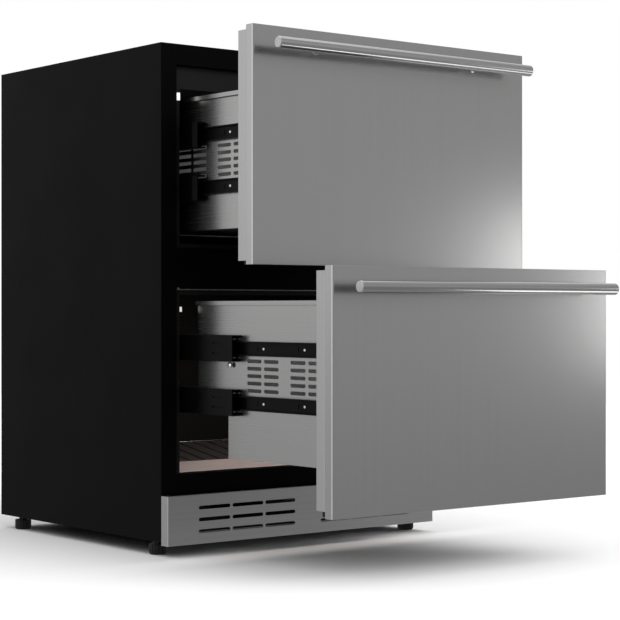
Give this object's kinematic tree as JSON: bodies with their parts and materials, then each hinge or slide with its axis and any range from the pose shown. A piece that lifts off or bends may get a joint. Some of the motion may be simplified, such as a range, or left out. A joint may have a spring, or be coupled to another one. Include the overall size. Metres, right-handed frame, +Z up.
{
  "type": "drawer beverage center",
  "caption": "Undercounter beverage cooler: black cabinet, stainless drawers on telescopic slides, bar handles, toe grille and levelling feet.",
  "frame": {"origin": "middle of the bounding box on the floor, with the drawers as they stand open at rest", "axes": "+X to the right seen from the front, +Y to the back, +Z up; the drawers open along -Y"},
  "size_m": [0.595, 1.0451, 0.8613],
  "materials": {
    "black_paint": "satin",
    "brushed_steel": "satin",
    "inner_steel": "satin",
    "zinc_sheet": "satin",
    "liner_plastic": "satin",
    "black_plastic": "satin",
    "foam": "matte",
    "rubber": "matte",
    "black_rail": "satin",
    "cage_steel": "satin",
    "rivet_steel": "polished",
    "compressor_paint": "gloss",
    "copper": "satin",
    "fin_aluminium": "satin",
    "lens": "gloss",
    "display": "gloss"
  },
  "bodies": {
    "cabinet": {"side_panel_left": "black_paint", "side_panel_right": "black_paint", "top_panel": "black_paint", "back_panel": "zinc_sheet", "base_pan": "zinc_sheet", "front_sill": "black_paint", "mullion": "black_paint", "upper_liner": "liner_plastic", "lower_liner": "liner_plastic", "insulation": "foam", "toe_grille": "brushed_steel", "control_strip": "black_plastic", "control_display": "display", "cabin_lamps": "lens", "evaporator_cover": "liner_plastic", "evaporator": "fin_aluminium", "compressor": "compressor_paint", "condenser": "compressor_paint", "refrigerant_pipes": "copper", "drain_pan": "black_plastic", "rear_cover": "black_paint", "cord_gland": "rubber", "upper_cabinet_rails": "black_rail", "lower_cabinet_rails": "black_rail"},
    "upper_drawer": {"upper_front_skin": "brushed_steel", "upper_front_foam": "foam", "upper_front_inner": "brushed_steel", "upper_seal": "rubber", "upper_handle_bar": "brushed_steel", "upper_handle_posts": "brushed_steel", "upper_box_left": "inner_steel", "upper_box_right": "inner_steel", "upper_box_back": "inner_steel", "upper_box_floor": "inner_steel", "upper_drawer_rails": "black_rail", "upper_rail_rivets": "rivet_steel"},
    "upper_middle_slides": {"upper_middle_rails": "black_rail"},
    "upper_inner_ball_cages": {"upper_inner_cages": "cage_steel"},
    "upper_outer_ball_cages": {"upper_outer_cages": "cage_steel"},
    "lower_drawer": {"lower_front_skin": "brushed_steel", "lower_front_foam": "foam", "lower_front_inner": "brushed_steel", "lower_seal": "rubber", "lower_handle_bar": "brushed_steel", "lower_handle_posts": "brushed_steel", "lower_box_left": "inner_steel", "lower_box_right": "inner_steel", "lower_box_back": "inner_steel", "lower_box_floor": "inner_steel", "lower_drawer_rails": "black_rail", "lower_rail_rivets": "rivet_steel"},
    "lower_middle_slides": {"lower_middle_rails": "black_rail"},
    "lower_inner_ball_cages": {"lower_inner_cages": "cage_steel"},
    "lower_outer_ball_cages": {"lower_outer_cages": "cage_steel"},
    "foot_front_left": {"foot_front_left": "black_plastic"},
    "foot_front_right": {"foot_front_right": "black_plastic"},
    "foot_rear_left": {"foot_rear_left": "black_plastic"},
    "foot_rear_right": {"foot_rear_right": "black_plastic"},
    "condenser_fan": {"condenser_fan": "black_plastic"},
    "evaporator_fan": {"evaporator_fan": "black_plastic"}
  },
  "joints": [
    {"name": "upper_drawer_slide", "type": "slide", "parent": "cabinet", "child": "upper_drawer", "axis": [0, -1, 0], "range_m": [-0.2104, 0.2166]},
    {"name": "upper_middle_slides_slide", "type": "slide", "parent": "cabinet", "child": "upper_middle_slides", "axis": [0, -1, 0], "range_m": [-0.1057, 0.1088]},
    {"name": "upper_inner_ball_cages_slide", "type": "slide", "parent": "cabinet", "child": "upper_inner_ball_cages", "axis": [0, -1, 0], "range_m": [-0.1583, 0.16295]},
    {"name": "upper_outer_ball_cages_slide", "type": "slide", "parent": "cabinet", "child": "upper_outer_ball_cages", "axis": [0, -1, 0], "range_m": [-0.0531, 0.05465]},
    {"name": "lower_drawer_slide", "type": "slide", "parent": "cabinet", "child": "lower_drawer", "axis": [0, -1, 0], "range_m": [-0.4073, 0.0197]},
    {"name": "lower_middle_slides_slide", "type": "slide", "parent": "cabinet", "child": "lower_middle_slides", "axis": [0, -1, 0], "range_m": [-0.20415, 0.01035]},
    {"name": "lower_inner_ball_cages_slide", "type": "slide", "parent": "cabinet", "child": "lower_inner_ball_cages", "axis": [0, -1, 0], "range_m": [-0.30597, 0.01528]},
    {"name": "lower_outer_ball_cages_slide", "type": "slide", "parent": "cabinet", "child": "lower_outer_ball_cages", "axis": [0, -1, 0], "range_m": [-0.10232, 0.00542]},
    {"name": "foot_front_left_height", "type": "slide", "parent": "cabinet", "child": "foot_front_left", "axis": [0, 0, -1], "range_m": [0, 0.015]},
    {"name": "foot_front_right_height", "type": "slide", "parent": "cabinet", "child": "foot_front_right", "axis": [0, 0, -1], "range_m": [0, 0.015]},
    {"name": "foot_rear_left_height", "type": "slide", "parent": "cabinet", "child": "foot_rear_left", "axis": [0, 0, -1], "range_m": [0, 0.015]},
    {"name": "foot_rear_right_height", "type": "slide", "parent": "cabinet", "child": "foot_rear_right", "axis": [0, 0, -1], "range_m": [0, 0.015]},
    {"name": "condenser_fan_spin", "type": "hinge", "parent": "cabinet", "child": "condenser_fan", "pos_m": [-0.006, 0.42581, 0.1031], "axis": [1, 0, 0], "continuous": true},
    {"name": "evaporator_fan_spin", "type": "hinge", "parent": "cabinet", "child": "evaporator_fan", "pos_m": [0, 0.40158, 0.731], "axis": [0, 1, 0], "continuous": true}
  ],
  "couplings": [
    {"joint": "upper_middle_slides_slide", "follows": "upper_drawer_slide", "ratio": 0.5},
    {"joint": "upper_inner_ball_cages_slide", "follows": "upper_drawer_slide", "ratio": 0.75},
    {"joint": "upper_outer_ball_cages_slide", "follows": "upper_drawer_slide", "ratio": 0.25},
    {"joint": "lower_middle_slides_slide", "follows": "lower_drawer_slide", "ratio": 0.5},
    {"joint": "lower_inner_ball_cages_slide", "follows": "lower_drawer_slide", "ratio": 0.75},
    {"joint": "lower_outer_ball_cages_slide", "follows": "lower_drawer_slide", "ratio": 0.25}
  ]
}
